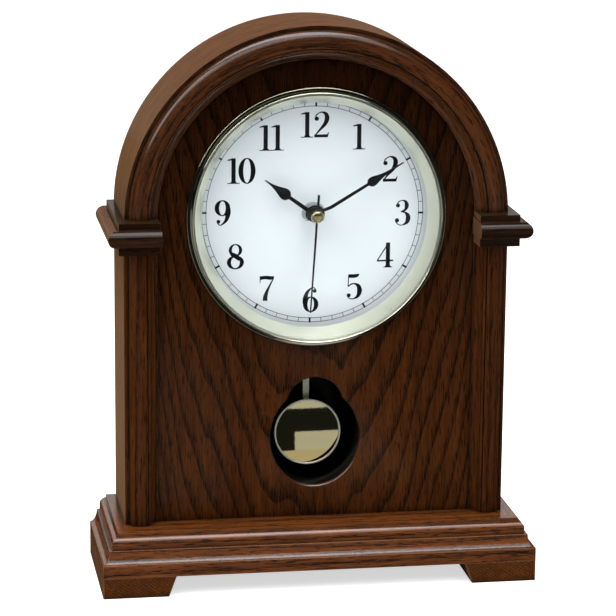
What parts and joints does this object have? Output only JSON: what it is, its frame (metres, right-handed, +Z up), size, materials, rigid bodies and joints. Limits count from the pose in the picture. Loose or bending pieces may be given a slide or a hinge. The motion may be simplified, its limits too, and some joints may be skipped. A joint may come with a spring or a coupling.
{
  "type": "desk pendulum clock",
  "caption": "Arched wooden table clock with moulded pilasters, imposts and stepped base, round glazed dial, swinging pendulum in a keyhole window, and a hinged back door.",
  "frame": {"origin": "middle of the footprint, on the table", "axes": "+Z up, the dial faces -Y, +X to the viewer's right"},
  "size_m": [0.2344, 0.0816, 0.3],
  "materials": {
    "case_wood": "dark walnut stain under satin lacquer, open grain",
    "back_wood": "dark stained board, matt",
    "gilt_metal": "polished pale gold",
    "hinge_brass": "plain brass",
    "glass": "clear domed glass",
    "dial_white": "satin white with black print",
    "black_metal": "satin black",
    "steel": "plain steel",
    "black_plastic": "black moulded plastic",
    "white_plastic": "white moulded plastic",
    "battery_jacket": "plain jacket",
    "board_green": "circuit board",
    "copper_wire": "enamelled copper winding"
  },
  "bodies": {
    "case": {"left_foot": "case_wood", "right_foot": "case_wood", "base_plinth": "case_wood", "base_top_board": "case_wood", "left_side_board": "case_wood", "right_side_board": "case_wood", "arch_roof": "case_wood", "front_panel": "case_wood", "left_pilaster": "case_wood", "right_pilaster": "case_wood", "arch_moulding": "case_wood", "left_impost": "case_wood", "right_impost": "case_wood", "bezel": "gilt_metal", "dial_glass": "glass", "dial_plate": "dial_white", "dial_washer": "steel", "centre_nut": "steel", "movement_case": "black_plastic", "movement_cover": "black_plastic", "battery": "battery_jacket", "positive_contact": "steel", "negative_contact": "steel", "circuit_board": "board_green", "motor_coil": "copper_wire", "pendulum_drive_case": "black_plastic", "drive_coil": "copper_wire", "pivot_pin": "steel", "back_board": "back_wood", "catch_magnet": "black_plastic", "lower_hinge_frame_leaf": "hinge_brass", "lower_hinge_pin": "hinge_brass", "upper_hinge_frame_leaf": "hinge_brass", "upper_hinge_pin": "hinge_brass"},
    "minute_work": {"minute_arbor": "white_plastic", "minute_hand": "black_metal"},
    "hour_work": {"hour_wheel": "white_plastic", "hour_hand": "black_metal"},
    "second_work": {"second_arbor": "steel", "second_hand": "black_metal", "hand_cap": "gilt_metal"},
    "motion_work": {"motion_wheel": "white_plastic", "setting_knob": "white_plastic"},
    "third_work": {"third_wheel": "white_plastic"},
    "pendulum": {"pendulum_hanger": "black_plastic", "drive_magnet": "steel", "pendulum_rod": "gilt_metal", "pendulum_bob": "gilt_metal"},
    "door": {"back_door": "back_wood", "lower_hinge_door_leaf": "hinge_brass", "upper_hinge_door_leaf": "hinge_brass", "catch_plate": "steel"}
  },
  "joints": [
    {"name": "minute_turn", "type": "hinge", "parent": "case", "child": "minute_work", "pos_m": [0, 0, 0.19765], "axis": [0, 1, 0], "continuous": true},
    {"name": "hour_turn", "type": "hinge", "parent": "case", "child": "hour_work", "pos_m": [0, 0, 0.19765], "axis": [0, 1, 0], "continuous": true},
    {"name": "second_turn", "type": "hinge", "parent": "case", "child": "second_work", "pos_m": [0, 0, 0.19765], "axis": [0, 1, 0], "continuous": true},
    {"name": "motion_turn", "type": "hinge", "parent": "case", "child": "motion_work", "pos_m": [0.01039, 0, 0.20365], "axis": [0, 1, 0], "continuous": true},
    {"name": "third_turn", "type": "hinge", "parent": "case", "child": "third_work", "pos_m": [-0.0106, 0, 0.20377], "axis": [0, 1, 0], "continuous": true},
    {"name": "pendulum_swing", "type": "hinge", "parent": "case", "child": "pendulum", "pos_m": [0, 0, 0.15995], "axis": [0, 1, 0], "range_deg": [-12, 12]},
    {"name": "door_swing", "type": "hinge", "parent": "case", "child": "door", "pos_m": [-0.0604, 0.0389, 0], "axis": [0, 0, 1], "range_deg": [0, 110]}
  ],
  "couplings": [
    {"joint": "third_turn", "follows": "second_turn", "ratio": -0.125},
    {"joint": "minute_turn", "follows": "second_turn", "ratio": 0.016667},
    {"joint": "motion_turn", "follows": "second_turn", "ratio": -0.0055556},
    {"joint": "hour_turn", "follows": "second_turn", "ratio": 0.0013889}
  ]
}
